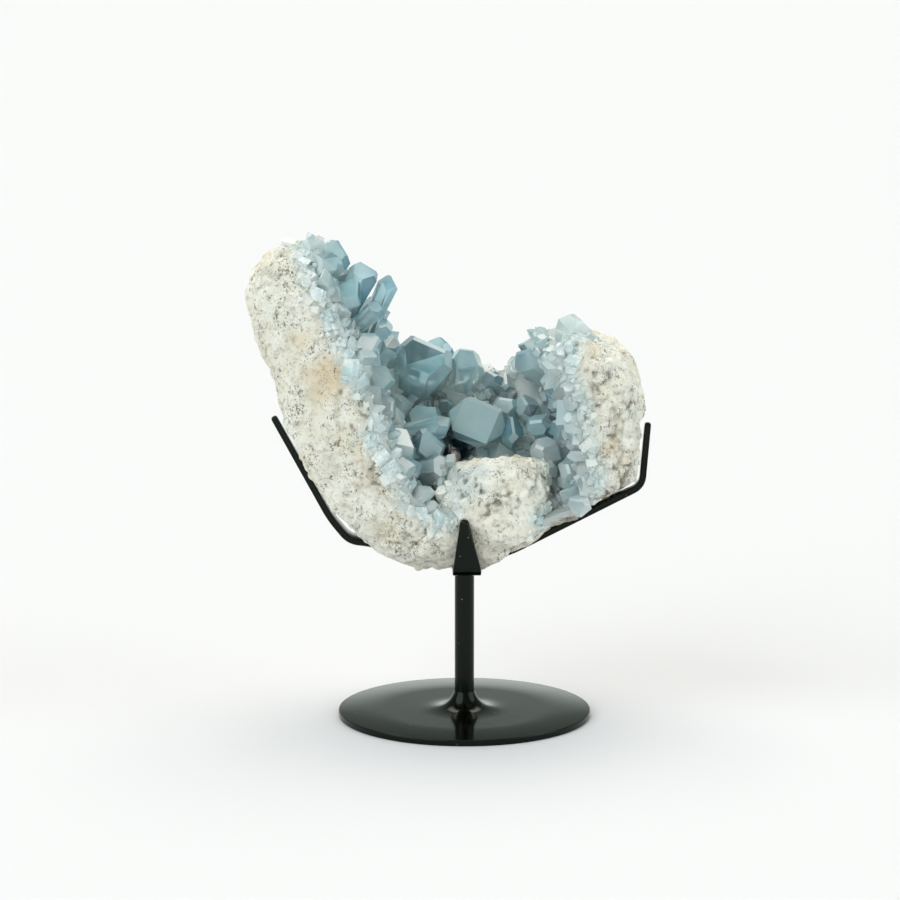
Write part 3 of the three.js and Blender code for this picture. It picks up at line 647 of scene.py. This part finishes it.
def grown_together(base, crystals, groups):
    """Unites the base mesh with each group of crystals in turn, so that nothing is left inside."""
    feet, ups, turns, widths, heights, kinds = crystals
    holder = bpy.data.objects.new("growing", base)
    bpy.context.scene.collection.objects.link(holder)
    for group in range(groups.max() + 1):
        parts, offset = [], 0
        for kind, shape in enumerate(SHAPES):
            chosen = (groups == group) & (kinds == kind)
            points, triangles = grown_copies(shape, *(v[chosen] for v in (feet, ups, turns, widths, heights)))
            parts.append((points, triangles + offset))
            offset += len(points)
        group_mesh = new_mesh("group", *(np.vstack(rows) for rows in zip(*parts)))
        tool = bpy.data.objects.new("group", group_mesh)
        bpy.context.scene.collection.objects.link(tool)
        union = holder.modifiers.new("union", "BOOLEAN")
        union.operation, union.solver, union.object = "UNION", "MANIFOLD", tool
        united = bpy.data.meshes.new_from_object(holder.evaluated_get(bpy.context.evaluated_depsgraph_get()))
        holder.modifiers.clear()
        holder.data = united
        bpy.data.objects.remove(tool)
    bpy.data.objects.remove(holder)
    return united


# %% Where the small crystals stand
# They stand on the bare lining, which is the part of the crust 2 to 4 mm in front of the rock, and they
# get smaller towards its broken rim.
from mathutils.bvhtree import BVHTree

rock_shape = bmesh.new()
rock_shape.from_mesh(matrix_mesh)
rock_tree = BVHTree.FromBMesh(rock_shape)
rock_shape.free()


def at_rock(points):
    """For each place the nearest place on the model's rock and the distance to it, in mm."""
    found = [rock_tree.find_nearest(place) for place in (points * MM).tolist()]
    return np.array([hit[0][:] for hit in found]) / MM, np.array([hit[3] for hit in found]) / MM


def spaced(places, sizes, share):
    """The places kept one after the other, each farther from all kept before it than its share of both
    sizes."""
    kept = []
    for k in range(len(places)):
        others = np.array(kept, int)
        if (np.linalg.norm(places[others] - places[k], axis=1) > share * (sizes[others] + sizes[k])).all():
            kept.append(k)
    return kept


def face_middles(mesh):
    """The middle in mm and the normal of every face."""
    middles, normals = np.empty((2, len(mesh.polygons) * 3), np.float32)
    mesh.polygons.foreach_get("center", middles)
    mesh.polygons.foreach_get("normal", normals)
    return middles.reshape(-1, 3) / MM, normals.reshape(-1, 3)


# The crust's back lies 0.3 mm off the rock in the model. Here it is moved into the rock, so that no film of
# air is left between them and the rock shows through the crystals.
crust_points, _, _, _ = mesh_arrays(crust_mesh)
on_rock, gap = at_rock(crust_points)
inward = (on_rock - crust_points) / np.maximum(gap, 1e-3)[:, None]
crust_points = np.where((gap < 0.75)[:, None], on_rock + 0.7 * inward, crust_points)
crust_mesh.vertices.foreach_set("co", (crust_points * MM).ravel())

random = np.random.default_rng(21)
walls, facing = scattered(crust_mesh, 6500, random)
_, off_rock = at_rock(walls)
to_rim = nearest(walls, rock_points[to_crystals > 2.5][::3])
in_opening = np.linalg.norm(walls - np.array([-6, 0, 134]), axis=1) < 10
bare = (off_rock > 1.6) & (off_rock < 3.8) & (to_rim > 1.5) & ~in_opening
bare &= (walls[:, 0] < 34) | ((above_bar(walls) > 6) & (walls[:, 2] < 190))
walls, facing, to_rim = walls[bare], facing[bare], to_rim[bare]
sizes = (4.0 + 9.5 * random.random(len(walls)) ** 1.5) * smooth_step(to_rim, -6, 14)
taken = spaced(walls, sizes, 0.36)
walls, facing, widths = walls[taken], facing[taken], sizes[taken]
ups = facing + np.array([0, -0.3, 0.2]) + 0.5 * random.normal(size=walls.shape)
ups /= np.linalg.norm(ups, axis=1)[:, None]
heights = widths * random.uniform(0.8, 1.5, len(walls)) + 1.5
feet = walls - 1.5 * ups
turns, kinds = random.uniform(0, np.pi, len(walls)), random.integers(0, len(SHAPES), len(walls))
crystals = (feet, ups, turns, widths, heights, kinds)
groups = kept_apart(feet + ups * heights[:, None] / 2, np.hypot(heights, widths * 1.3) / 2 + 0.05)
print(len(walls), "small crystals in", groups.max() + 1, "groups")
crystal_mesh = grown_together(crust_mesh, crystals, groups)
crystal_mesh.name = "celestite_crystals"

# %% Each facet its own tone
# A facet is a plane, so all its triangles get the same number: its rounded normal and its rounded distance
# from the origin, scrambled.
middles, normals = face_middles(crystal_mesh)
plane = np.round(12 * normals) + 40 * np.round((middles * normals).sum(1) / 2)[:, None] + 9000
set_measure(crystal_mesh, "facet_tone", scrambled(plane.astype(np.int64), 3), "FACE")
to_rim = nearest(middles, rock_points[to_crystals > 2.5][::2])
set_measure(crystal_mesh, "pale_rim", smooth_step(to_rim, 15, 3), "FACE")
# The clefts' painted shade on the crystals.
set_measure(crystal_mesh, "painted_cleft_shade", cleft_shade_at(middles), "FACE")

# %% Celestite material
# Celestite is strontium sulphate, clear to milky, with an index of 1.62. The faces grew smooth, so the eye
# sees glassy planes, light from the rock behind them, milky veils inside, and a blue that deepens with the
# length of the way through.
celestite, tree = new_material("celestite_clear_as_grown")
place = add_node(tree, "ShaderNodeTexCoord").outputs["Object"]
veil = add_node(tree, "ShaderNodeTexNoise",
                {"Vector": place, "Scale": 95, "Detail": 4, "Roughness": 0.6}).outputs[0]
ripple = add_node(tree, "ShaderNodeTexNoise", {"Vector": place, "Scale": 420, "Detail": 3}).outputs[0]
tone, pale_rim, painted_cleft_shade = (add_node(tree, "ShaderNodeAttribute", attribute_name=name).outputs["Fac"]
                         for name in ("facet_tone", "pale_rim", "painted_cleft_shade"))
milk = add_node(tree, "ShaderNodeMapRange", {0: veil, 1: 0.3, 2: 0.7, 3: 0, 4: 0.5})
paleness = add_node(tree, "ShaderNodeMath", {0: tone, 1: 0.5, 2: milk.outputs[0]}, operation="MULTIPLY_ADD")
tint = add_node(tree, "ShaderNodeMix", {0: paleness.outputs[0], 6: linear("#98DAE8"), 7: linear("#EEFDFF")},
                data_type="RGBA")
patch = add_node(tree, "ShaderNodeTexNoise", {"Vector": place, "Scale": 42, "Detail": 2}).outputs[0]  # 24 mm
deep = add_node(tree, "ShaderNodeMapRange", {0: patch, 1: 0.48, 2: 0.66, 3: 0, 4: 0.5})
tint = add_node(tree, "ShaderNodeMix", {0: deep.outputs[0], 6: tint.outputs[2], 7: linear("#6C9FB3")},
                data_type="RGBA")
# A facet with a low tone gets painted shade, a dark blue for the dark between the crystals; one with a high
# tone is whiter, partly frosted and partly a painted highlight for glints.
shadowed = add_node(tree, "ShaderNodeMapRange", {0: tone, 1: 0.2, 2: 0.1, 3: 0, 4: 0.6})
tint = add_node(tree, "ShaderNodeMix", {0: shadowed.outputs[0], 6: tint.outputs[2], 7: linear("#38718C")},
                data_type="RGBA")
# Whiter facets: partly frosted faces, partly painted glints.
frost_and_glint = add_node(tree, "ShaderNodeMapRange", {0: tone, 1: 0.76, 2: 0.84, 3: 0, 4: 0.7})
tint = add_node(tree, "ShaderNodeMix", {0: frost_and_glint.outputs[0], 6: tint.outputs[2], 7: linear("#D3F1F8")},
                data_type="RGBA")
icy = add_node(tree, "ShaderNodeMath", {0: pale_rim, 1: 0.9}, operation="MULTIPLY")
tint = add_node(tree, "ShaderNodeMix", {0: icy.outputs[0], 6: tint.outputs[2], 7: linear("#F8FFFC")},
                data_type="RGBA")
# Painted shade: a dark blue colour in the clefts between the crystals.
tint = add_node(tree, "ShaderNodeMix", {0: painted_cleft_shade, 6: tint.outputs[2], 7: linear("#14303C")},
                data_type="RGBA")
dull = add_node(tree, "ShaderNodeMapRange", {0: veil, 1: 0.4, 2: 0.7, 3: 0.03, 4: 0.13})
crystal_bump = add_node(tree, "ShaderNodeBump", {"Height": ripple, "Strength": 0.06, "Distance": 0.0006})
celestite_shader = add_node(tree, "ShaderNodeBsdfPrincipled",
                            {"Base Color": tint.outputs[2], "Roughness": dull.outputs[0], "IOR": 1.62,
                             "Transmission Weight": 0.55, "Normal": crystal_bump.outputs[0]})
depth = add_node(tree, "ShaderNodeVolumeAbsorption", {"Color": (0.2, 0.65, 0.73, 1), "Density": 7})
add_node(tree, "ShaderNodeOutputMaterial",
         {"Surface": celestite_shader.outputs[0], "Volume": depth.outputs[0]})
add_piece(crystal_mesh, celestite, "celestite", "crystal_crust")

# %% [markdown]
# ## The milky border
# Where the crust was broken off, the crystals are small, cracked and full of tiny bubbles, so they look
# like ice: whitish blue and cloudy. They sit on the broken rock within a centimetre of the crust, thick
# beside it and thinner further out, and on the top of the knob at the front.

# %% Milky crystals on the rock
random = np.random.default_rng(33)
chosen = random.permutation(len(rock_points))[:26000]
places, facing, near = rock_points[chosen], rock_normals[chosen], to_crystals[chosen]
on_knob = smooth_step(np.linalg.norm(places - np.array([2, -34, 124]), axis=1), 24, 12)
reach = 5 + 9 * smooth_step(cloud(places, 15, 40), -0.6, 0.7) + 7 * on_knob
grows = (near > 0.6) & (near < reach) & (facing[:, 1] < 0.55) & (facing[:, 2] > -0.5)
grows &= nearest(places, arm_points[::2]) > 4
grows &= (places[:, 0] < 34) | (above_bar(places) > 3)
grows &= (places[:, 2] < 124) | (np.abs(places[:, 0] + 5) > 9)
grows &= random.random(len(places)) > 0.8 * near / reach
places, facing, near, reach = places[grows], facing[grows], near[grows], reach[grows]
sizes = (2 + 9 * random.random(len(places)) ** 2.4) * (1 - 0.7 * near / reach)
sizes[(places[:, 0] > 30) & (places[:, 2] > 188)] *= 0.6
taken = spaced(places, sizes, 0.3)
places, facing, sizes, outward = places[taken], facing[taken], sizes[taken], (near / reach)[taken]
ups = facing + 0.55 * random.normal(size=places.shape)
ups /= np.linalg.norm(ups, axis=1)[:, None]
turns, heights = random.uniform(0, np.pi, len(places)), sizes * random.uniform(0.9, 1.4, len(places))
kinds = random.integers(5, 9, len(places))
depths = (0.5 + 0.3 * outward) * heights  # how far each stands in the rock
parts, whiteness, offset = [], [], 0
for kind in range(5, 9):
    chosen = kinds == kind
    feet = places[chosen] - depths[chosen, None] * ups[chosen]
    points, triangles = grown_copies(SHAPES[kind], feet, *(v[chosen] for v in (ups, turns, sizes, heights)))
    parts.append((points, triangles + offset))
    white = np.clip(outward[chosen] + random.uniform(-0.3, 0.3, chosen.sum()), 0, 1)
    whiteness.append(np.repeat(white, len(SHAPES[kind][0])))
    offset += len(points)
milky_mesh = new_mesh("milky_border_crystals", *(np.vstack(rows) for rows in zip(*parts)))
set_measure(milky_mesh, "whiteness", np.concatenate(whiteness))
print(len(places), "milky crystals")

# %% Milky material
# The bubbles and cracks scatter the light near the surface. The eye sees a soft bluish white with a glossy
# face here and there, and what lies behind shows only as a blurred brightness.
milky, tree = new_material("celestite_milky")
place = add_node(tree, "ShaderNodeTexCoord").outputs["Object"]
cloudy = add_node(tree, "ShaderNodeTexNoise",
                  {"Vector": place, "Scale": 130, "Detail": 4, "Roughness": 0.6}).outputs[0]
pale = add_node(tree, "ShaderNodeMapRange", {0: cloudy, 1: 0.38, 2: 0.62})
tint = add_node(tree, "ShaderNodeMix", {0: pale.outputs[0], 6: linear("#C3E0E4"), 7: linear("#F8FFFE")},
                data_type="RGBA")
whiteness = add_node(tree, "ShaderNodeAttribute", attribute_name="whiteness").outputs["Fac"]
tint = add_node(tree, "ShaderNodeMix", {0: whiteness, 6: tint.outputs[2], 7: linear("#FAFBF2")},
                data_type="RGBA")
dull = add_node(tree, "ShaderNodeMapRange", {0: cloudy, 1: 0.4, 2: 0.7, 3: 0.2, 4: 0.45})
milky_shader = add_node(tree, "ShaderNodeBsdfPrincipled",
                        {"Base Color": tint.outputs[2], "Roughness": dull.outputs[0], "IOR": 1.62,
                         "Transmission Weight": 0.3})
add_node(tree, "ShaderNodeOutputMaterial", {"Surface": milky_shader.outputs[0]})
add_piece(milky_mesh, milky, "celestite", "crystal_crust")
